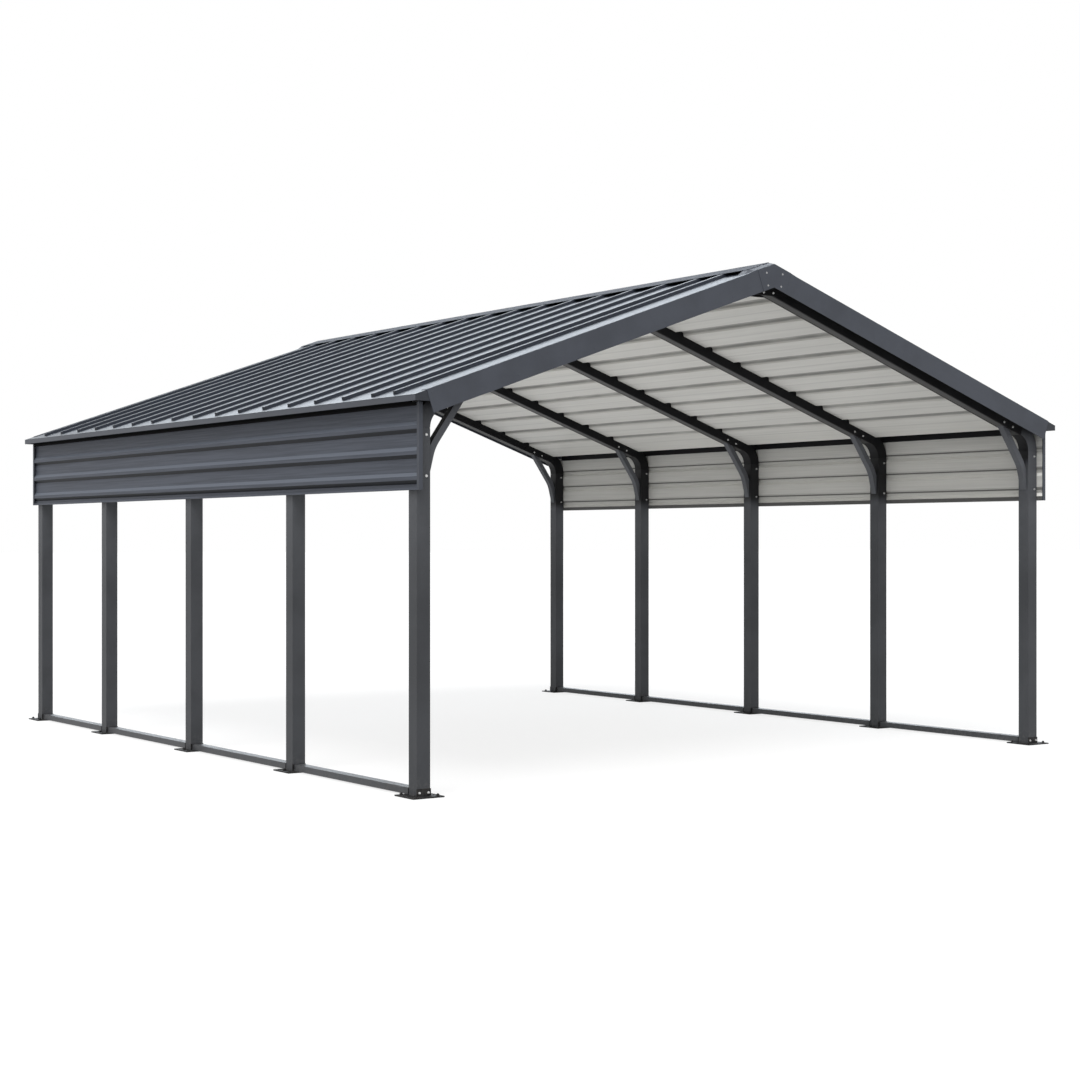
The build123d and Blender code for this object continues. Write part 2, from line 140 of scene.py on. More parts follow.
# %% A socket that understands arithmetic
class Signal:
    """An output socket of a node tree that Python operators can work on."""

    def __init__(self, tree, socket):
        self.tree = tree
        self.socket = socket

    def node(self, kind, settings=None, sockets=None, output=0):
        """Add a node, with its settings first and then its sockets' values or links."""
        made = self.tree.nodes.new(kind)
        for name, value in (settings or {}).items():
            setattr(made, name, value)
        for name, value in (sockets or {}).items():
            if isinstance(value, Signal):
                self.tree.links.new(value.socket, made.inputs[name])
            else:
                made.inputs[name].default_value = value
        return Signal(self.tree, made.outputs[output])

    def math(self, operation, first, second=0.0):
        return self.node("ShaderNodeMath", {"operation": operation}, {0: first, 1: second})

    def __add__(self, other):
        return self.math("ADD", self, other)

    def __sub__(self, other):
        return self.math("SUBTRACT", self, other)

    def __rsub__(self, other):
        return self.math("SUBTRACT", other, self)

    def __mul__(self, other):
        return self.math("MULTIPLY", self, other)

    def __gt__(self, other):
        return self.math("GREATER_THAN", self, other)

    def __lt__(self, other):
        return self.math("LESS_THAN", self, other)

    def __abs__(self):
        return self.math("ABSOLUTE", self)

    __radd__ = __add__
    __rmul__ = __mul__

    def between(self, low, high):
        """0 at low and below, 1 at high and above, and smooth in between."""
        return self.node(
            "ShaderNodeMapRange",
            {"interpolation_type": "SMOOTHSTEP"},
            {"Value": self, "From Min": low, "From Max": high},
        )

    def paint(self, first, second):
        """Colour that goes from the first to the second as this value goes from 0 to 1."""
        return self.node(
            "ShaderNodeMix", {"data_type": "RGBA"}, {"Factor": self, "A": first, "B": second}, 2
        )

    def stretched(self, scale):
        """This vector with its three parts multiplied, to pull a pattern out along an axis."""
        return self.node("ShaderNodeMapping", {}, {"Vector": self, "Scale": scale})

    def noise(self, scale, detail=2.0):
        """Cloudy value from 0 to 1, its clouds about one over scale metres wide."""
        return self.node(
            "ShaderNodeTexNoise", {}, {"Vector": self, "Scale": scale, "Detail": detail}
        )

    def parts(self):
        """This vector's x, y and z."""
        made = self.tree.nodes.new("ShaderNodeSeparateXYZ")
        self.tree.links.new(self.socket, made.inputs[0])
        return [Signal(self.tree, output) for output in made.outputs]


# %% Helpers for a new material
def new_finish(name):
    """A new material with its main shader and the Object coordinates to paint by."""
    material = bpy.data.materials.new(name)
    material.use_nodes = True
    tree = material.node_tree
    shader = tree.nodes["Principled BSDF"]
    where = Signal(tree, tree.nodes.new("ShaderNodeTexCoord").outputs["Object"])
    return material, shader, where


def feed(shader, **signals):
    """Link values to the shader's sockets, named with _ for a space."""
    for name, signal in signals.items():
        signal.tree.links.new(signal.socket, shader.inputs[name.replace("_", " ")])


def set_plain(shader, **numbers):
    """Set the shader's values that are the same all over."""
    for name, number in numbers.items():
        shader.inputs[name.replace("_", " ")].default_value = number


def bump(height, depth):
    """Normal of a surface raised by a height of 0 to 1, times a depth in metres."""
    return height.node("ShaderNodeBump", {}, {"Height": height, "Distance": depth, "Strength": 1.0})


def facing(where):
    """The parts of the direction that a surface faces."""
    return where.node("ShaderNodeNewGeometry", output=1).parts()


def shade(colour, share):
    """A colour made darker or lighter by a share."""
    return (colour[0] * share, colour[1] * share, colour[2] * share, 1.0)


def shades(colour, shares):
    """The same colour at several shares."""
    return [shade(colour, share) for share in shares]


# %% [markdown]
# ## Powder coat on the frame
#
# The tubes are powder coated: a dark grey baked paint with a fine orange-peel skin and little gloss.
# An image texture would need unwrapping. Noise in Object coordinates needs none, and keeps its real
# scale on a long rafter and a short cheek alike. Low on the posts a little dust settles. The paint
# itself is grey. Under the roof, and behind the side panels past the front frame, it is painted near
# black, which is painted shade. High on the posts it is painted a little paler, a painted lightening
# against the shade of the roof. The undersides of the rafters are painted paler, a painted highlight
# of light from below, except along their edges, which keep the painted shade. The backs of the knee
# braces are painted dark as painted shade, and their fronts paler than the posts as painted light.

# %% Frame, brace and plate paint
# A scale says how many clouds of noise fit in about a metre. Edges, rises and halves say where a soft
# mask starts and where it ends. Limits test the direction that a face points in.
PEEL_SCALE = 260.0
PEEL_DEPTH = 0.0003
CLOUD_SCALE = 3.2
CLOUD_EDGES = (0.3, 0.7)
CLOUD_ROUGHNESS = 0.1
DUST_SCALE = 46.0
DUST_EDGES = (0.42, 0.72)
DUST_ROUGHNESS = 0.15
DUST_COLOUR = (0.34, 0.325, 0.30, 1.0)
DUST_TOP = 0.16
FRAME_GREY = (0.054, 0.0565, 0.062)
# The two near-black tones below are painted shade on the posts, elbows, rafters and beams where the roof and
# panels shade them, and the own black paint of the base plates and anchors.
BLACK_PAINT_AND_SHADE = (0.0115, 0.0115, 0.0125)
SHADED_POST = (0.0161, 0.0161, 0.0175)
# The braces' grey is about twice the frame's grey, painted light that makes up for the shade they stand in.
BRACE_LIT_GREY = (0.108, 0.113, 0.124)
UNDERSIDE_LIGHT = (0.085, 0.085, 0.083)
UNDERSIDE_LIGHT_HALF = (0.026, 0.036)
BEND_RISES = (0.1, 0.17)
INWARD_RISES = (-0.12, -0.04)
TOP_LIGHTENING = 1.6
TOP_LIGHTENING_START = 1.0
MOTTLE = ((0.88, 0.88, 0.88, 1.0), (1.12, 1.12, 1.12, 1.0))
SHADE_RISE = 0.08
FRONT_LIMIT = 0.5
UNDER_LIMIT = -0.6
BACK_LIMIT = 0.2
panel_low, panel_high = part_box("right_side_panel")


def off_row(depth):
    """Distance from the middle of the nearest frame."""
    nearest = abs(depth - rows[0])
    for row in rows[1:]:
        nearest = depth.math("MINIMUM", nearest, abs(depth - row))
    return nearest


def powder_coat(
    name,
    low_tone,
    shade_tone,
    roughness,
    specular,
    dust_share=0.0,
    top_lightening=1.0,
    lit_underside=False,
    shaded_back=False,
):
    """Baked paint, its own tone below the elbows and a tone of painted shade above, with dust near the
    ground.
    """
    material, shader, where = new_finish(name)
    cloud = where.noise(CLOUD_SCALE, detail=4.0)
    peel = where.noise(PEEL_SCALE, detail=1.0)
    across, depth, height = where.parts()
    sideways, frontward, upward = facing(where)
    specks = where.noise(DUST_SCALE, detail=5.0).between(*DUST_EDGES)
    dust = (1 - height.between(0.0, DUST_TOP)) * specks

    # Painted shade: above the elbows, behind the side panels past the front frame and on the inner faces
    # near the elbows, the tone turns near black.
    roofed = (height - joint_height).between(*BEND_RISES)
    behind = (depth > rows[0] + tube_width) * (height - panel_low.z).between(0.0, SHADE_RISE)
    inward = (abs(frontward) < FRONT_LIMIT) * (height - joint_height).between(*INWARD_RISES)
    painted_shade = roofed.math("MAXIMUM", roofed.math("MAXIMUM", roofed, behind), inward)
    # Painted light: from one metre up to the elbows the own tone is made paler, against the shade of the
    # roof.
    top_lit = height.between(TOP_LIGHTENING_START, joint_height).paint(*shades(low_tone, (1.0, top_lightening)))
    tone = painted_shade.paint(top_lit, shade(shade_tone, 1.0))
    # Painted light: the middle of each rafter's underside is painted paler, as if lit from below, and its
    # edges keep the painted shade.
    if lit_underside:
        under = (upward < UNDER_LIMIT) * (1 - off_row(depth).between(*UNDERSIDE_LIGHT_HALF))
        tone = under.paint(tone, shade(UNDERSIDE_LIGHT, 1.0))
    # Painted shade: brace faces that point away from the middle of the carport are painted near black.
    if shaded_back:
        tone = ((across * sideways) > BACK_LIMIT).paint(tone, shade(BLACK_PAINT_AND_SHADE, 1.0))
    mottle = cloud.between(*CLOUD_EDGES).paint(*MOTTLE)
    multiply = {"data_type": "RGBA", "blend_type": "MULTIPLY"}
    tone = tone.node("ShaderNodeMix", multiply, {"Factor": 1.0, "A": tone, "B": mottle}, 2)
    feed(
        shader,
        Base_Color=(dust * dust_share).paint(tone, DUST_COLOUR),
        Roughness=roughness - CLOUD_ROUGHNESS / 2 + cloud * CLOUD_ROUGHNESS + dust * DUST_ROUGHNESS,
        Normal=bump(peel, PEEL_DEPTH),
    )
    set_plain(shader, Specular_IOR_Level=specular)
    return material


post_paint = powder_coat(
    "post_paint",
    FRAME_GREY,
    SHADED_POST,
    roughness=0.5,
    specular=0.2,
    dust_share=0.12,
    top_lightening=TOP_LIGHTENING,
)
elbow_paint = powder_coat(
    "elbow_paint", FRAME_GREY, BLACK_PAINT_AND_SHADE, roughness=0.5, specular=0.12, top_lightening=TOP_LIGHTENING
)
rafter_paint = powder_coat(
    "rafter_paint", BLACK_PAINT_AND_SHADE, BLACK_PAINT_AND_SHADE, roughness=0.55, specular=0.08, lit_underside=True
)
beam_paint = powder_coat("beam_paint", BLACK_PAINT_AND_SHADE, BLACK_PAINT_AND_SHADE, roughness=0.55, specular=0.08)
brace_paint = powder_coat(
    "brace_paint", BRACE_LIT_GREY, BRACE_LIT_GREY, roughness=0.5, specular=0.15, shaded_back=True
)
plate_paint = powder_coat(
    "plate_paint", BLACK_PAINT_AND_SHADE, BLACK_PAINT_AND_SHADE, roughness=0.55, specular=0.15, dust_share=0.1
)
rail_paint = powder_coat(
    "rail_paint", FRAME_GREY, FRAME_GREY, roughness=0.45, specular=0.3, dust_share=0.12
)
print("powder coats:", post_paint.name, rafter_paint.name, plate_paint.name)

# %% [markdown]
# ## Colour-coated sheet
#
# Roof sheets, fascias and side panels are rolled from pre-painted coil. The paint is slate grey and
# satin, so a sheet that is seen at a flat angle mirrors the bright sky and looks pale. The shader does
# that by itself from its roughness, so the paint stays dark. Rain leaves faint streaks down the slope.
# Thin sheet never lies quite flat, and its slow waves show in the shine.

# %% Roof and trim coat
STREAK_STRETCH = (0.5, 9.0, 0.5)
EVEN_STRETCH = (1.0, 1.0, 1.0)
STREAK_SCALE = 5.0
STREAK_EDGES = (0.35, 0.65)
STREAK_SHARE = 0.6
STREAK_ROUGHNESS = 0.08
PATCH_SCALE = 1.3
GRAIN_SCALE = 420.0
GRAIN_DEPTH = 0.00006
WAVE_DEPTH = 0.0035
WAVE_SCALE = 2.2
WAVE_STRETCH = (1.0, 4.0, 1.0)
ROOF_BLUE = (0.018, 0.022, 0.032)
SLATE = (0.061, 0.067, 0.082)
TONE_SPREAD = (0.9, 1.1)
END_LIMIT = 0.9


def coil_coat(
    name, tone, roughness, specular, streak_stretch=EVEN_STRETCH, end_shade_share=1.0, wave_depth=0.0
):
    """Satin coil paint with streaks one way and a very fine grain, with painted shade on its ends when the
    end share is below one.
    """
    material, shader, where = new_finish(name)
    streak = where.stretched(streak_stretch).noise(STREAK_SCALE, detail=4.0)
    patch = where.noise(PATCH_SCALE, detail=3.0)
    grain = where.noise(GRAIN_SCALE, detail=1.0)
    wave = where.stretched(WAVE_STRETCH).noise(WAVE_SCALE, detail=1.0)
    mixed = (streak * STREAK_SHARE + patch * (1 - STREAK_SHARE)).between(*STREAK_EDGES)
    ends = abs(facing(where)[1]) > END_LIMIT
    darker, lighter = [ends.paint(*shades(tone, (share, share * end_shade_share))) for share in TONE_SPREAD]
    feed(
        shader,
        Base_Color=mixed.paint(darker, lighter),
        Roughness=roughness - STREAK_ROUGHNESS / 2 + streak * STREAK_ROUGHNESS,
        Normal=bump(grain * GRAIN_DEPTH + wave * wave_depth, 1.0),
    )
    set_plain(shader, Specular_IOR_Level=specular)
    return material


roof_coat = coil_coat(
    "roof_coat",
    ROOF_BLUE,
    roughness=0.42,
    specular=0.2,
    streak_stretch=STREAK_STRETCH,
    wave_depth=WAVE_DEPTH,
)
cap_coat = coil_coat(
    "cap_coat", shade(SLATE, 0.9), roughness=0.65, specular=0.05, streak_stretch=STREAK_STRETCH
)
trim_coat = coil_coat("trim_coat", SLATE, roughness=0.5, specular=0.25)
# The rear fascia is a darker copy of the trim paint, painted shade along the rear rake.
rear_coat = coil_coat("rear_coat", shade(SLATE, 0.85), roughness=0.7, specular=0.03)
# The eave trims' front end caps are painted darker, which is painted shade.
edge_coat = coil_coat("edge_coat", shade(SLATE, 1.1), roughness=0.45, specular=0.25, end_shade_share=0.5)
print("coil coats:", roof_coat.name, cap_coat.name, trim_coat.name, edge_coat.name)

# %% [markdown]
# ## Screws in the apex covers
#
# Four bright screws hold each apex cover. They are set flush in the cover, which is the foremost face
# of the carport, so they are drawn in its finish: a round spot is where the squared distance to its
# middle is small. The cover is the same on both sides of the ridge, so |x| serves both arms.

# %% Apex cover coat
cover_corners = slope_corners("apex_covers")
cover_top = max(above for _, above, _ in cover_corners)
cover_bottom = min(above for _, above, _ in cover_corners)
COVER_SCREW_RUNS = (0.063, 0.078)
COVER_SCREW_RADIUS = 0.0065
COVER_SCREW_MARGINS = (0.036, 0.026)
COVER_SCREW_TONE = 0.6
COVER_SCREW_METAL = 0.9
ZINC_COLOUR = (0.6, 0.605, 0.61, 1.0)


def cover_finish():
    """Trim coat with two flush zinc screws on each arm of the cover."""
    material = coil_coat("cover_coat", SLATE, roughness=0.5, specular=0.25)
    tree = material.node_tree
    shader = tree.nodes["Principled BSDF"]
    coat = Signal(tree, shader.inputs["Base Color"].links[0].from_socket)
    where = Signal(tree, tree.nodes["Texture Coordinate"].outputs["Object"])
    x, _, z = where.parts()
    spots = []
    screw_levels = (cover_top - COVER_SCREW_MARGINS[0], cover_bottom + COVER_SCREW_MARGINS[1])
    for run, above in zip(COVER_SCREW_RUNS, screw_levels):
        middle = slope_point(1, run, above, 0.0)
        across = abs(x) - middle.x
        up = z - middle.z
        spots.append((across * across + up * up) < COVER_SCREW_RADIUS**2)
    screw = spots[0] + spots[1]
    bright = shade(ZINC_COLOUR, COVER_SCREW_TONE)
    feed(shader, Base_Color=screw.paint(coat, bright), Metallic=screw * COVER_SCREW_METAL)
    return material


cover_coat = cover_finish()
print("apex covers:", cover_coat.name)

# %% [markdown]
# ## Two-tone panels and the liner
#
# Coated coil has its colour on one face and a pale backing coat on the other, so a side panel is slate
# outside and pale inside. One material does both: where the face points away from the middle of the
# carport it is the outside. Faces that point down and the grooves of the ribs are painted darker, which
# is painted shade, and faces that point up are painted paler, which is painted light. The liner under the
# roof has a brighter backing coat, and its ribs and a faint roll line midway between them are painted
# darker as painted shade.

# %% Panel coat, pale inside
HEM_HEIGHT = 0.03
BACKING = (0.76, 0.75, 0.71)
PANEL_BACKING = (0.64, 0.635, 0.605)
HEM_TONE = (0.12, 0.12, 0.118, 1.0)
SLATE_LIT_ABOVE = (0.116, 0.13, 0.157, 1.0)
RIB_HALF_DEPTH = 0.009
LEAN_LIMIT = 0.3
FRONT_PALER = 0.7
PANEL_STRETCH = (1.0, 0.4, 26.0)
PANEL_STREAK_SCALE = 4.0
SLATE_SPREAD = (1.2, 1.6)
SLATE_SHADE_UNDER = 0.32
PALE_SPREAD = (0.95, 1.05)
PALE_LIT_OVER = 1.35
PALE_SHADE_UNDER = (0.75, 0.2)
PANEL_ROUGHNESS = 0.42
ROUGHNESS_SPREAD = 0.1


def panel_finish():
    """Slate outside, pale backing coat inside, a grey hem at the bottom of the inside, and painted shade and
    light on the ribs.
    """
    material, shader, where = new_finish("panel_coat")
    x, y, z = where.parts()
    sideways, _, upward = facing(where)
    outside = (x * sideways) > 0.0
    under = upward < -LEAN_LIMIT
    over = upward > LEAN_LIMIT
    deep = (abs(x) > frame_half + RIB_HALF_DEPTH) * (1 - (y < rows[0]) * FRONT_PALER)
    hem = z < panel_low.z + HEM_HEIGHT
    streak = where.stretched(PANEL_STRETCH).noise(PANEL_STREAK_SCALE, detail=4.0)
    slate = streak.between(*STREAK_EDGES).paint(*shades(SLATE, SLATE_SPREAD))
    # Painted light and shade outside: faces that point up are painted paler, faces that point down darker.
    slate = over.paint(slate, SLATE_LIT_ABOVE)
    slate = under.paint(slate, shade(SLATE, SLATE_SHADE_UNDER))
    pale = streak.between(*CLOUD_EDGES).paint(*shades(PANEL_BACKING, PALE_SPREAD))
    # Painted light and shade inside: faces that point up are painted paler, and the grooves darker, less so
    # in front of the front frame.
    pale = over.paint(pale, shade(PANEL_BACKING, PALE_LIT_OVER))
    pale = under.paint(pale, deep.paint(*shades(PANEL_BACKING, PALE_SHADE_UNDER)))
    inside = hem.paint(pale, HEM_TONE)
    feed(
        shader,
        Base_Color=outside.paint(inside, slate),
        Roughness=PANEL_ROUGHNESS + streak * ROUGHNESS_SPREAD,
        Normal=bump(where.noise(GRAIN_SCALE, detail=1.0), GRAIN_DEPTH),
    )
    set_plain(shader, Specular_IOR_Level=0.08)
    return material


panel_coat = panel_finish()
print("two-tone:", panel_coat.name)

# %% Liner coat
ROLL_LINE_SHARE = 0.2
ROLL_LINE_EDGES = (0.97, 1.0)
GROOVE = (0.38, 0.375, 0.36, 1.0)
GROOVE_RISES = (0.006, 0.016)
GROOVE_SHARE = 0.55
SHADE_PATCH_STRETCH = (6.0, 1.0, 6.0)
SHADE_PATCH_SCALE = 2.5
SHADE_PATCH_EDGES = (0.3, 0.6)
LINER_STRETCH = (14.0, 0.5, 4.0)
LINER_STREAK_SCALE = 2.0
LINER_SPREAD = (0.97, 1.04)
LINER_ROUGHNESS = 0.46


def liner_finish():
    """Pale backing coat with painted shade in the ribs and a faint line of painted shade midway between
    them.
    """
    material, shader, where = new_finish("liner_coat")
    x, _, z = where.parts()
    drop = ridge_height - z
    along = abs(x) * cos(pitch) + drop * sin(pitch)
    above = abs(x) * sin(pitch) - drop * cos(pitch)
    # Painted shade: the grooves of the ribs are painted darker, in patches along the carport, and a faint
    # line of painted shade marks the roll line.
    groove = (above - liner_flat).between(*GROOVE_RISES)
    shade_patches = where.stretched(SHADE_PATCH_STRETCH).noise(SHADE_PATCH_SCALE, detail=3.0).between(*SHADE_PATCH_EDGES)
    groove_shade = groove * (GROOVE_SHARE + shade_patches * (1 - GROOVE_SHARE))
    turns = (along - (liner_ribs[0] - liner_pitch / 4)) * (2 * pi / liner_pitch)
    roll_line = (0.0 - turns.math("SINE", turns)).between(*ROLL_LINE_EDGES)
    streak = where.stretched(LINER_STRETCH).noise(LINER_STREAK_SCALE, detail=3.0)
    plain = streak.between(*CLOUD_EDGES).paint(*shades(BACKING, LINER_SPREAD))
    lined = (roll_line * ROLL_LINE_SHARE).paint(plain, GROOVE)
    feed(
        shader,
        Base_Color=groove_shade.paint(lined, GROOVE),
        Roughness=LINER_ROUGHNESS + streak * ROUGHNESS_SPREAD,
        Normal=bump(where.noise(GRAIN_SCALE, detail=1.0), GRAIN_DEPTH),
    )
    set_plain(shader, Specular_IOR_Level=0.25)
    return material


liner_coat = liner_finish()
print("liner:", liner_coat.name)

# %% [markdown]
# ## Bare metal and foam
#
# The purlins between the rafters and the roof sheets are galvanised, with the zinc's crystal spangle,
# which a Voronoi texture draws. Bolts are bright zinc plate. Black foam with fine pores closes the
# gap between the side panels and the eaves.

# %% Galvanised, zinc and foam finishes
SPANGLE_SCALE = 90.0
SPANGLE_TONES = ((0.36, 0.365, 0.37, 1.0), (0.5, 0.505, 0.51, 1.0))
TARNISH_SCALE = 130.0
TARNISH_EDGES = (0.35, 0.75)
TARNISHED = (0.6, 0.59, 0.575, 1.0)
PORE_SCALE = 300.0
PORE_DEPTH = 0.0015
FOAM_TONES = ((0.004, 0.004, 0.004, 1.0), (0.009, 0.009, 0.01, 1.0))


def galvanised_finish():
    """Dull zinc with spangles about a centimetre wide."""
    material, shader, where = new_finish("galvanised")
    spangle = where.node("ShaderNodeTexVoronoi", {}, {"Vector": where, "Scale": SPANGLE_SCALE}, 1)
    tone = spangle.parts()[0]
    feed(shader, Base_Color=tone.paint(*SPANGLE_TONES), Roughness=0.4 + tone * 0.2)
    set_plain(shader, Metallic=0.9)
    return material


def zinc_finish():
    """Bright zinc plate with faint tarnish."""
    material, shader, where = new_finish("zinc_plate")
    tarnish = where.noise(TARNISH_SCALE, detail=3.0)
    feed(
        shader,
        Base_Color=tarnish.between(*TARNISH_EDGES).paint(ZINC_COLOUR, TARNISHED),
        Roughness=0.25 + tarnish * 0.2,
    )
    set_plain(shader, Metallic=1.0)
    return material


def foam_finish():
    """Black closed-cell foam with pores."""
    material, shader, where = new_finish("closure_foam")
    pores = where.noise(PORE_SCALE, detail=3.0)
    feed(
        shader,
        Base_Color=pores.between(*CLOUD_EDGES).paint(*FOAM_TONES),
        Roughness=0.85 + pores * 0.1,
        Normal=bump(pores, PORE_DEPTH),
    )
    set_plain(shader, Specular_IOR_Level=0.05)
    return material


galvanised = galvanised_finish()
zinc_plate = zinc_finish()
closure_foam = foam_finish()
print("metals and foam:", galvanised.name, zinc_plate.name, closure_foam.name)

# %% [markdown]
# ## Paint every node
#
# Nodes are named for what they are, so a short list of words in the names gives each one its finish.

# %% Give each node its finish
FINISHES = (
    ("_post_", post_paint),
    ("rafters_", rafter_paint),
    ("elbows_", elbow_paint),
    ("eave_beams", beam_paint),
    ("ridge_gussets", beam_paint),
    ("knee_braces_", brace_paint),
    ("_shoes", plate_paint),
    ("_base_rails", rail_paint),
    ("_roof_sheet", roof_coat),
    ("ridge_cap", cap_coat),
    ("rear_fascia", rear_coat),
    ("front_fascia", trim_coat),
    ("apex_covers", cover_coat),
    ("_eave_trim", edge_coat),
    ("panel_end_trims", trim_coat),
    ("_side_panel", panel_coat),
    ("_roof_liner", liner_coat),
    ("roof_purlins", galvanised),
)
for name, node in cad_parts.items():
    finish = next(finish for word, finish in FINISHES if word in name)
    node.data.materials.clear()
    node.data.materials.append(finish)
print("painted nodes:", len(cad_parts))

# %% [markdown]
# ## One bolt, modelled by hand
#
# A flanged hex bolt is a round washer with a six-sided head. Each starts as a cylinder. In edit mode
# the top face is inset and raised, which gives the washer its crown and the head its chamfer. Faces
# are picked by their normal, as one would click on the top face.

# %% Helpers for edit mode
STRAIGHT_UP = 0.99


def clear_selection():
    bpy.ops.object.select_all(action="DESELECT")


def make_active(piece):
    """Select one piece alone, as a click on it does."""
    clear_selection()
    piece.select_set(True)
    bpy.context.view_layer.objects.active = piece


def pick_top(piece):
    """Select the faces of the open mesh that point straight up."""
    mesh = bmesh.from_edit_mesh(piece.data)
    for face in mesh.faces:
        face.select_set(face.normal.z > STRAIGHT_UP)
    bmesh.update_edit_mesh(piece.data)


def crowned_disc(sides, radius, bottom, height, inset, crown):
    """A cylinder whose top face is inset and raised a little."""
    clear_selection()
    middle = (0.0, 0.0, bottom + height / 2)
    bpy.ops.mesh.primitive_cylinder_add(vertices=sides, radius=radius, depth=height, location=middle)
    piece = bpy.context.object
    bpy.ops.object.mode_set(mode="EDIT")
    bpy.ops.mesh.select_mode(type="FACE")
    bpy.ops.mesh.select_all(action="DESELECT")
    pick_top(piece)
    bpy.ops.mesh.inset(thickness=inset, depth=0.0)
    bpy.ops.transform.translate(value=(0.0, 0.0, crown))
    bpy.ops.object.mode_set(mode="OBJECT")
    return piece


def join_pieces(pieces, name):
    """Join pieces into one, with its place in its mesh."""
    make_active(pieces[0])
    for piece in pieces:
        piece.select_set(True)
    if len(pieces) > 1:
        bpy.ops.object.join()
    made = bpy.context.object
    bpy.ops.object.transform_apply(location=True, rotation=True, scale=True)
    made.name = name
    made.data.name = name
    return made


def hex_bolt(name, flats, head_height, washer_radius, washer_height, washer_sides):
    """A hex head on a crowned washer, standing on the ground at the origin."""
    washer = crowned_disc(
        washer_sides, washer_radius, 0.0, washer_height, inset=washer_radius / 5, crown=washer_height / 4
    )
    head = crowned_disc(
        6, flats / sqrt(3), washer_height, head_height, inset=flats / 9, crown=head_height / 6
    )
    return join_pieces([washer, head], name)


# %% Helpers to place copies
def stand_at(master, point, direction):
    """A copy of a fastener with its own mesh, its foot at a point and its head in a direction."""
    copy = master.copy()
    copy.data = master.data.copy()
    bpy.context.collection.objects.link(copy)
    turn = Vector((0.0, 0.0, 1.0)).rotation_difference(Vector(direction))
    copy.matrix_world = Matrix.Translation(point) @ turn.to_matrix().to_4x4()
    return copy


def mirror_piece(piece, axes, merge=False):
    """Add a piece's mirror images about the origin, with their faces turned outward."""
    make_active(piece)
    mirror = piece.modifiers.new("other sides", "MIRROR")
    mirror.use_axis = axes
    mirror.use_mirror_merge = merge
    bpy.ops.object.modifier_apply(modifier=mirror.name)
    bpy.ops.object.mode_set(mode="EDIT")
    bpy.ops.mesh.select_all(action="SELECT")
    bpy.ops.mesh.normals_make_consistent(inside=False)
    bpy.ops.object.mode_set(mode="OBJECT")


def fit_piece(piece, finish):
    """Give a finished piece its material and the body it rides on."""
    piece.data.materials.clear()
    piece.data.materials.append(finish)
    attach(piece, "root")
    print(piece.name, "faces:", len(piece.data.polygons))


# %% [markdown]
# ## Bolts of one frame
#
# Two bolts hold each post to its elbow and two hold each rafter, and three hold the gusset at the
# ridge. They go through the tube, so the rear face has the same bolts as the front. Only the front
# ones are placed, and a Mirror modifier about the middle of the frame gives the rear ones, as a
# fitter drills straight through from one side.

# %% Place and mirror the frame bolts
frame_bolt = hex_bolt(
    "frame_bolt", flats=0.011, head_height=0.005, washer_radius=0.008, washer_height=0.002, washer_sides=14
)
POST_BOLT_DROPS = (0.038, 0.276)
POST_BOLT_SHIFT = 0.019
RAFTER_BOLT_RUNS = (0.096, 0.19)
RAFTER_BOLT_SHARE = 0.74
GUSSET_BOLTS = (-0.082, 0.0, 0.082)
GUSSET_BOLT_RISE = 0.02
gusset_low, gusset_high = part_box("ridge_gussets")
gusset_face = gusset_high.y - rows[-1]

spots = []
for side in (-1, 1):
    for drop in POST_BOLT_DROPS:
        spots.append(Vector((side * post_x + POST_BOLT_SHIFT, -tube_width / 2, joint_height - drop)))
    for run in RAFTER_BOLT_RUNS:
        below = tube_width * RAFTER_BOLT_SHARE
        spots.append(slope_point(side, rafter_start - run, -below, -tube_width / 2))
for x in GUSSET_BOLTS:
    spots.append(Vector((x, -gusset_face, gusset_low.z + GUSSET_BOLT_RISE)))
one_frame = join_pieces([stand_at(frame_bolt, spot, (0, -1, 0)) for spot in spots], "one_frame")
mirror_piece(one_frame, (False, True, False))
print("bolts on one frame:", 2 * len(spots))

# %% Copy the bolts to every frame
for number, row in enumerate(rows, start=1):
    copy = stand_at(one_frame, (0.0, row, 0.0), (0, 0, 1))
    fit_piece(join_pieces([copy], f"frame_bolts_{number}"), zinc_plate)

# %% [markdown]
# ## Feet: cheek bolts and anchors
#
# Each post stands between two upright cheeks. On the outermost cheeks, two bolts show. The base
# plates are held by anchors set in the ground: a washer, a nut and the end of a stud through every
# hole. The holes are found in the loaded mesh, where many corners of a rim lie close together.

# %% Bolts on the outer cheeks
foot_bolt = hex_bolt(
    "foot_bolt", flats=0.011, head_height=0.004, washer_radius=0.008, washer_height=0.002, washer_sides=12
)
CHEEK_BOLTS = (-0.03, 0.03)
CHEEK_BOLT_RISE = 0.018
shoe_corners = [vertex.co.copy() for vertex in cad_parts["right_shoes"].data.vertices]
shoe_top = max(corner.z for corner in shoe_corners)
cheek_front = min(corner.y for corner in shoe_corners if corner.z > shoe_top - LEVEL)
plate_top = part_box("right_base_rails")[0].z
spots = [Vector((post_x + x, cheek_front, plate_top + CHEEK_BOLT_RISE)) for x in CHEEK_BOLTS]
foot_bolts = join_pieces([stand_at(foot_bolt, spot, (0, -1, 0)) for spot in spots], "foot_bolts")
mirror_piece(foot_bolts, (True, True, False))
fit_piece(foot_bolts, zinc_plate)


# %% Anchors in the holes of the base plates
RIM_REACH = 0.02
RIM_CORNERS = 8


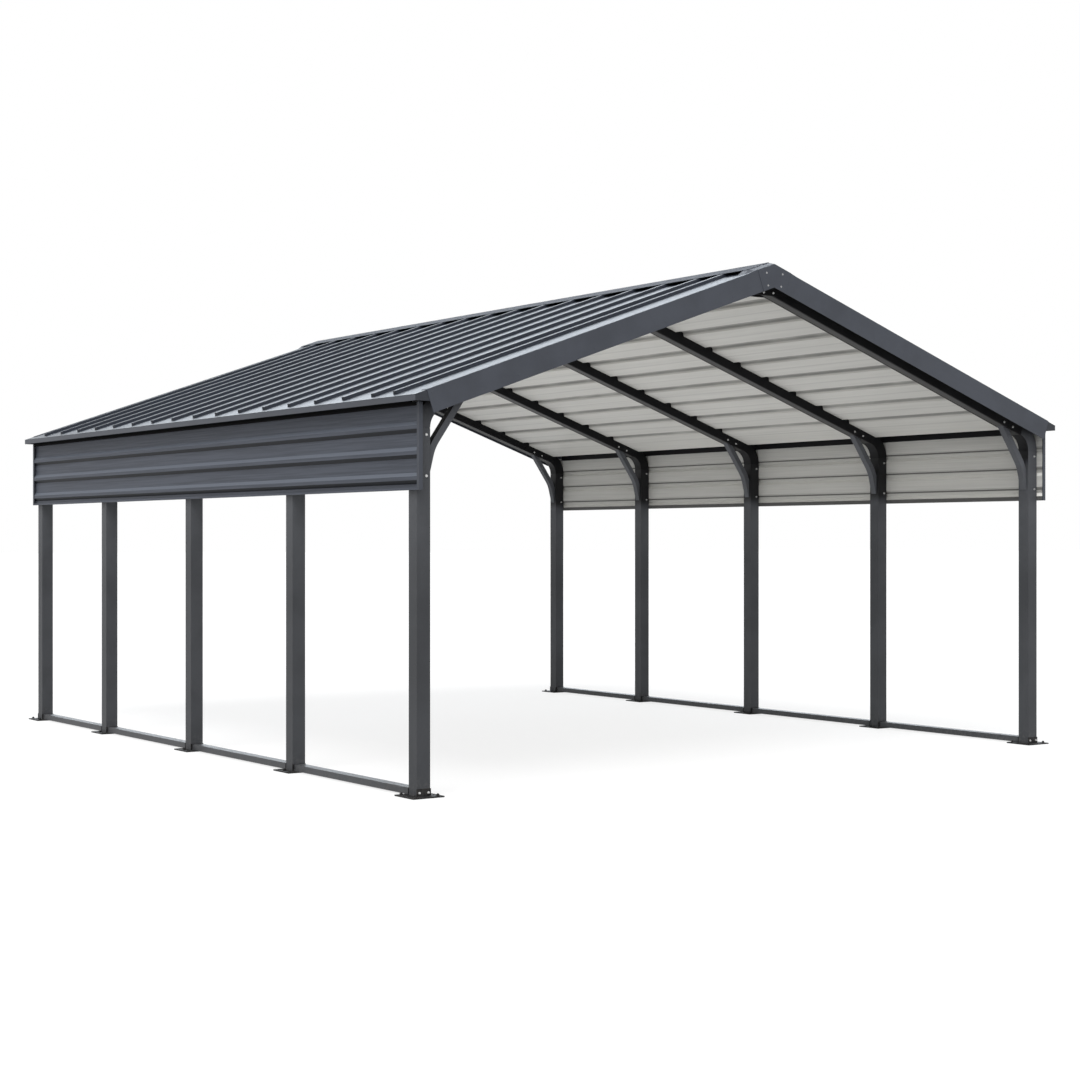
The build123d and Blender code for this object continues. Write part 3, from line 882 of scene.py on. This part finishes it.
def hole_middles(corners, level):
    """Middles of the round holes in a level face."""
    rims = []
    for corner in corners:
        if abs(corner.z - level) > LEVEL:
            continue
        rim = next((rim for rim in rims if (rim[0] - corner).length < RIM_REACH), None)
        if rim is None:
            rims.append([corner])
        elif all((known - corner).length > TOUCH for known in rim):
            rim.append(corner)
    found = []
    for rim in rims:
        if len(rim) >= RIM_CORNERS:
            low = Vector([min(corner[axis] for corner in rim) for axis in range(3)])
            high = Vector([max(corner[axis] for corner in rim) for axis in range(3)])
            found.append((low + high) / 2)
    return found


nut = hex_bolt(
    "nut", flats=0.016, head_height=0.007, washer_radius=0.0115, washer_height=0.002, washer_sides=14
)
stud = crowned_disc(sides=8, radius=0.0048, bottom=0.009, height=0.004, inset=0.001, crown=0.0006)
anchor = join_pieces([nut, stud], "anchor")
holes = hole_middles(shoe_corners, plate_top)
anchors = join_pieces([stand_at(anchor, hole, (0, 0, 1)) for hole in holes], "anchors")
mirror_piece(anchors, (True, False, False))
fit_piece(anchors, plate_paint)
print("anchors:", 2 * len(holes))

# %% [markdown]
# ## Screws in the roof and the panels
#
# Every roof pan is screwed to each purlin beside its rib, and a side panel is screwed beside the trims
# at its ends. The heads are painted like the sheet, so they show only as small bumps. There are many,
# so one screw has few faces.

# %% Roof screws
sheet_screw = hex_bolt(
    "sheet_screw", flats=0.008, head_height=0.004, washer_radius=0.0075, washer_height=0.0012, washer_sides=8
)
SCREW_BESIDE_RIB = 0.05
upright = Vector((sin(pitch), 0.0, cos(pitch)))
spots = []
for along in purlins:
    for y in roof_ribs:
        spots.append(slope_point(1, along, sheet_top, y + SCREW_BESIDE_RIB))
right_screws = join_pieces([stand_at(sheet_screw, spot, upright) for spot in spots], "roof_screws")
mirror_piece(right_screws, (True, False, False))
fit_piece(right_screws, roof_coat)
print("roof screws:", 2 * len(spots))

# %% Panel screws
TRIM_SCREW_GAP = 0.01
panel_corners = [vertex.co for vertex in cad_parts["right_side_panel"].data.vertices]
panel_faces = middles([corner.x for corner in panel_corners], LEVEL)
pan_face = panel_faces[1]
rib_heights = [corner.z for corner in panel_corners if corner.x > panel_faces[-1] - LEVEL]
panel_ribs = middles(rib_heights, RIB_REACH)
trim_corners = [vertex.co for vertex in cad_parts["panel_end_trims"].data.vertices]
trim_leg_end = min(abs(corner.y) for corner in trim_corners if corner.x > pan_face)
screw_heights = [(low + high) / 2 for low, high in zip(panel_ribs, panel_ribs[1:])]
spots = []
for height in screw_heights:
    for end in (-1, 1):
        spots.append(Vector((pan_face, end * (trim_leg_end - TRIM_SCREW_GAP), height)))
panel_screws = join_pieces([stand_at(sheet_screw, spot, (1, 0, 0)) for spot in spots], "panel_screws")
mirror_piece(panel_screws, (True, False, False))
fit_piece(panel_screws, trim_coat)
print("panel ribs at:", [round(height, 3) for height in panel_ribs], "screws:", 2 * len(spots))

# %% [markdown]
# ## Fascia screws
#
# The rake fascias are held by low dome-headed screws, one close to each lower end and the others in a
# row below the middle of the face. They must not stand out past the apex covers, so the dome is low.

# %% Place and mirror the fascia screws
fascia_corners = slope_corners("front_fascia")
fascia_top = max(above for _, above, _ in fascia_corners)
fascia_run = max(along for along, _, _ in fascia_corners)
fascia_face = min(y for _, _, y in fascia_corners)
dome = crowned_disc(sides=10, radius=0.006, bottom=0.0, height=0.0012, inset=0.0025, crown=0.0006)
FASCIA_END_INSET = 0.027
FASCIA_ROW_DROP = 0.106
FASCIA_SCREW_SHARES = (0.14, 0.35, 0.56, 0.77)
spots = [slope_point(1, fascia_run - FASCIA_END_INSET, fascia_top - FASCIA_END_INSET, fascia_face)]
for share in FASCIA_SCREW_SHARES:
    spots.append(slope_point(1, share * fascia_run, fascia_top - FASCIA_ROW_DROP, fascia_face))
fascia_screws = join_pieces([stand_at(dome, spot, (0, -1, 0)) for spot in spots], "fascia_screws")
mirror_piece(fascia_screws, (True, True, False))
fit_piece(fascia_screws, trim_coat)

# %% [markdown]
# ## Ridge closers
#
# The ridge cap rests on the ribs, so it stands open above the pans. At each gable a folded closer shuts
# that gap over the fascia's flange and runs down to the apex cover. It starts as a cube in the slope's
# own directions: along, y and above. Bisect cuts it where the cap ends, and corners picked by their
# place are moved, which slopes its front and flares its foot. Then it is laid on the slope, a second
# bisect trims it at the ridge, and a mirror makes the other three.

# %% Model one ridge closer
CLOSER_SPARE = 0.06
CLOSER_FLARE = 0.06
CLOSER_EDGE = 0.0015
CLOSER_FRONT_GAP = 0.004
CLOSER_LENGTH = 0.115
CLOSER_SLACK = 0.0003


def pick_corners(piece, wanted):
    """Select the corners of the open mesh that a test of their place picks."""
    mesh = bmesh.from_edit_mesh(piece.data)
    for vertex in mesh.verts:
        vertex.select_set(wanted(vertex.co))
    mesh.select_flush_mode()
    bmesh.update_edit_mesh(piece.data)


cap_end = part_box("ridge_cap")[0].y
cap_run = max(along for along, _, _ in slope_corners("ridge_cap"))
closer_front = fascia_face + CLOSER_FRONT_GAP
closer_back = closer_front + CLOSER_LENGTH
closer_bottom = sheet_top + CLOSER_SLACK
closer_top = rib_top - CLOSER_SLACK
clear_selection()
closer_low = Vector((-CLOSER_SPARE, closer_front, closer_bottom))
closer_high = Vector((cap_run, closer_back, closer_top))
bpy.ops.mesh.primitive_cube_add(
    size=1.0, location=(closer_low + closer_high) / 2, scale=closer_high - closer_low
)
closer = join_pieces([bpy.context.object], "ridge_closers")
bpy.ops.object.mode_set(mode="EDIT")
bpy.ops.mesh.select_mode(type="VERT")
bpy.ops.mesh.select_all(action="SELECT")
bpy.ops.mesh.bisect(plane_co=(0.0, cap_end, 0.0), plane_no=(0.0, 1.0, 0.0))
pick_corners(closer, lambda corner: corner.y < cap_end - LEVEL and corner.z > closer_top - LEVEL)
bpy.ops.transform.translate(value=(0.0, 0.0, cover_top + CLOSER_EDGE - closer_top))
pick_corners(closer, lambda corner: corner.y < cap_end - LEVEL and corner.z < closer_bottom + LEVEL)
bpy.ops.transform.translate(value=(0.0, 0.0, fascia_top - closer_bottom))
pick_corners(closer, lambda corner: corner.x > cap_run / 2 and corner.z < fascia_top + TOUCH)
bpy.ops.transform.translate(value=(CLOSER_FLARE, 0.0, 0.0))
bpy.ops.object.mode_set(mode="OBJECT")
print("closer from", round(closer_front, 3), "to", round(closer_back, 3))

# %% Lay the closer on the slope and mirror it
closer.matrix_world = Matrix.Translation((0.0, 0.0, ridge_height)) @ Matrix.Rotation(pitch, 4, "Y")
closer = join_pieces([closer], "ridge_closers")
bpy.ops.object.mode_set(mode="EDIT")
bpy.ops.mesh.select_all(action="SELECT")
bpy.ops.mesh.bisect(plane_co=(0.0, 0.0, 0.0), plane_no=(1.0, 0.0, 0.0), clear_inner=True)
bpy.ops.object.mode_set(mode="OBJECT")
mirror_piece(closer, (True, True, False), merge=True)
fit_piece(closer, trim_coat)

# %% [markdown]
# ## Foam closures
#
# Between the top of each side panel and the drip lip of the eave runs a strip of black foam that keeps
# birds and rain out. It starts as a cube at the strip's size. In edit mode its lower outer edge is
# picked by its place and bevelled, as foam strips are cut.

# %% Model the foam closures
FOAM_DEPTH = 0.016
FOAM_HEIGHT = 0.02
FOAM_CHAMFER = 0.006
FOAM_RISE = 0.0015
clear_selection()
foam_top = panel_high.z + FOAM_RISE
bpy.ops.mesh.primitive_cube_add(
    size=1.0,
    location=(pan_face + FOAM_DEPTH / 2, (panel_low.y + panel_high.y) / 2, foam_top - FOAM_HEIGHT / 2),
    scale=(FOAM_DEPTH, panel_high.y - panel_low.y, FOAM_HEIGHT),
)
foam = join_pieces([bpy.context.object], "eave_closures")
bpy.ops.object.mode_set(mode="EDIT")
bpy.ops.mesh.select_mode(type="EDGE")
bpy.ops.mesh.select_all(action="DESELECT")
mesh = bmesh.from_edit_mesh(foam.data)
for edge in mesh.edges:
    ends = [vertex.co for vertex in edge.verts]
    low = all(end.z < foam_top - FOAM_HEIGHT / 2 for end in ends)
    outer = all(end.x > pan_face + FOAM_DEPTH / 2 for end in ends)
    edge.select_set(low and outer)
bmesh.update_edit_mesh(foam.data)
bpy.ops.mesh.bevel(offset=FOAM_CHAMFER, segments=2, affect="EDGES")
bpy.ops.object.mode_set(mode="OBJECT")
mirror_piece(foam, (True, False, False))
fit_piece(foam, closure_foam)

# %% [markdown]
# ## Clear the bench
#
# The bolts and screws that were copied still stand at the origin. They have done their work, so they
# are taken out.

# %% Put the masters away
masters = (frame_bolt, one_frame, foot_bolt, anchor, sheet_screw, dome)
for master in masters:
    bpy.data.objects.remove(master)
print("masters put away:", len(masters))

# %% [markdown]
# ## Floor and sky
#
# The photograph has a plain white ground. A floor that is white by its paint would throw much light
# back up and wash out the dark undersides. So the floor's paint is a middle grey, and a glow is added
# that only the camera and mirrors see: the floor looks white and still keeps a faint shadow. The sky
# works the same way, white to look at and softer as a lamp.

# %% Floor
def looked_at(tree):
    """1 for rays from the camera, mirrors and glass, and 0 for rays that carry light."""
    path = tree.nodes.new("ShaderNodeLightPath")
    kinds = ("Is Camera Ray", "Is Glossy Ray", "Is Transmission Ray")
    seen, glossy, through = [Signal(tree, path.outputs[kind]) for kind in kinds]
    return seen.math("MAXIMUM", seen.math("MAXIMUM", seen, glossy), through)


FLOOR_SIZE = 400.0
FLOOR_DROP = 0.001
FLOOR_PAINT = 0.25
FLOOR_GLOW = 0.75
clear_selection()
bpy.ops.mesh.primitive_plane_add(size=FLOOR_SIZE, location=(0.0, 0.0, -FLOOR_DROP))
floor = bpy.context.object
floor.name = "floor"
floor_material, floor_shader, _ = new_finish("floor_white")
set_plain(floor_shader, Base_Color=(FLOOR_PAINT, FLOOR_PAINT, FLOOR_PAINT, 1.0), Roughness=0.9)
set_plain(floor_shader, Specular_IOR_Level=0.0)
floor_tree = floor_material.node_tree
strength = looked_at(floor_tree) * FLOOR_GLOW
glow = strength.node("ShaderNodeEmission", {}, {"Strength": strength})
paint = Signal(floor_tree, floor_shader.outputs[0])
added = strength.node("ShaderNodeAddShader", {}, {0: paint, 1: glow})
floor_tree.links.new(added.socket, floor_tree.nodes["Material Output"].inputs["Surface"])
floor.data.materials.append(floor_material)

# %% Sky
SKY_LIGHT = 0.65
world = bpy.data.worlds.new("studio")
bpy.context.scene.world = world
world.use_nodes = True
sky_tree = world.node_tree
sky_shader = sky_tree.nodes["Background"]
sky_shader.inputs["Color"].default_value = (1.0, 1.0, 1.0, 1.0)
sky_strength = SKY_LIGHT + looked_at(sky_tree) * (1 - SKY_LIGHT)
sky_tree.links.new(sky_strength.socket, sky_shader.inputs["Strength"])
print("floor paint:", FLOOR_PAINT, "sky light:", SKY_LIGHT)

# %% [markdown]
# ## Lamps
#
# A high soft key from the left front models the roof and the ribs. A weaker low fill from the front
# opens the fascias and posts. A rim lamp from behind skims over the roof, so that its pans shine and
# the sides of its ribs stay dark. Inside, a wide lamp on the ground stands for light thrown back by
# the paving, which is what makes the pale liner glow in the photograph.

# %% Key, fill, rim and bounce
LAMP_DISTANCE = 10.0
RIM_COLOUR = (0.82, 0.91, 1.0)


def sun_lamp(name, toward, energy, softness):
    """A far lamp that shines from a direction, with soft shadows."""
    bpy.ops.object.light_add(type="SUN", location=Vector(toward) * LAMP_DISTANCE)
    lamp = bpy.context.object
    lamp.name = name
    lamp.data.energy = energy
    lamp.data.angle = radians(softness)
    lamp.rotation_euler = Vector(toward).to_track_quat("Z", "Y").to_euler()
    return lamp


sun_lamp("key_light", (-0.45, -0.35, 0.95), energy=2.0, softness=30)
sun_lamp("fill_light", (-0.5, -0.8, 0.35), energy=0.8, softness=60)
rim = sun_lamp("rim_light", (0.45, 0.65, 0.45), energy=1.2, softness=40)
rim.data.color = RIM_COLOUR

BOUNCE_INSET = 0.3
BOUNCE_RISE = 0.01
BOUNCE_POWER = 58.0
bounce_spot = (0.0, (rows[0] + rows[-1]) / 2, BOUNCE_RISE)
bpy.ops.object.light_add(type="AREA", location=bounce_spot, rotation=(pi, 0.0, 0.0))
bounce = bpy.context.object
bounce.name = "ground_bounce"
bounce.data.shape = "RECTANGLE"
bounce.data.size = 2 * (post_x - BOUNCE_INSET)
bounce.data.size_y = rows[-1] - rows[0]
bounce.data.energy = BOUNCE_POWER
bounce.visible_camera = False
bounce.visible_glossy = False
print("bounce lamp:", round(bounce.data.size, 2), "by", round(bounce.data.size_y, 2))

# %% [markdown]
# ## Camera
#
# The photograph was matched with a level camera at eye height, left of the front gable. It looks past
# the front left corner, and a long lens keeps the posts upright and close to parallel.

# %% Camera
CAMERA_YAW = radians(34.84)
CAMERA_LENS = 65.3
SENSOR_WIDTH = 36.0
FAR_LIMIT = 1000.0
EYE_SIDE = -8.47
EYE_AHEAD = 9.672
EYE_HEIGHT = 1.48
eye = Vector((EYE_SIDE, rows[0] - EYE_AHEAD, EYE_HEIGHT))
bpy.ops.object.camera_add(location=eye, rotation=(pi / 2, 0.0, -CAMERA_YAW))
camera = bpy.context.object
camera.data.sensor_width = SENSOR_WIDTH
camera.data.lens = CAMERA_LENS
camera.data.clip_end = FAR_LIMIT
bpy.context.scene.camera = camera
bpy.context.scene.view_settings.view_transform = "Standard"
print("camera at:", [round(value, 2) for value in eye])
